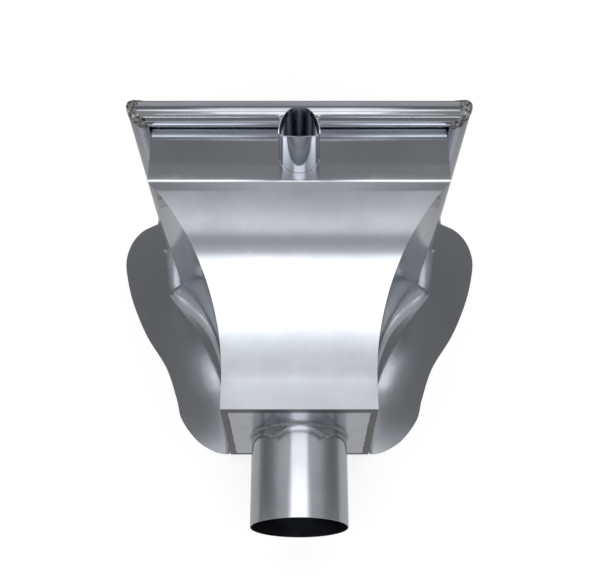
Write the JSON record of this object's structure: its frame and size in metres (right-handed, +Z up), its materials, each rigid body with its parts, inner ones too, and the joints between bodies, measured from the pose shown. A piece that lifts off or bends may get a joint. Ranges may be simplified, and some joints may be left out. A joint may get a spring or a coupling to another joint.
{
  "type": "downpipe hopper head",
  "caption": "Flared sheet metal rainwater hopper head with a beaded rim, a beaked overflow spout, wall wings and a round outlet spigot.",
  "frame": {"origin": "on the wall plane, on the middle plane, level with the underside of the bottom plate", "axes": "+Z up, +Y into the wall, -Y out of the wall towards the viewer, +X to the viewer's right"},
  "size_m": [0.4224, 0.312, 0.405],
  "materials": {
    "zinc_sheet": "mill finish rolled titanium-zinc, satin",
    "solder": "dull, rough soft solder"
  },
  "bodies": {
    "root": {"front_panel": "zinc_sheet", "left_side_panel": "zinc_sheet", "right_side_panel": "zinc_sheet", "back_plate": "zinc_sheet", "bottom_plate": "zinc_sheet", "outlet_spigot": "zinc_sheet", "overflow_spout": "zinc_sheet", "left_wing": "zinc_sheet", "right_wing": "zinc_sheet", "floor_solder": "solder", "spigot_solder": "solder", "spout_solder": "solder", "left_corner_solder": "solder", "right_corner_solder": "solder", "left_wing_solder": "solder", "right_wing_solder": "solder"}
  },
  "joints": []
}
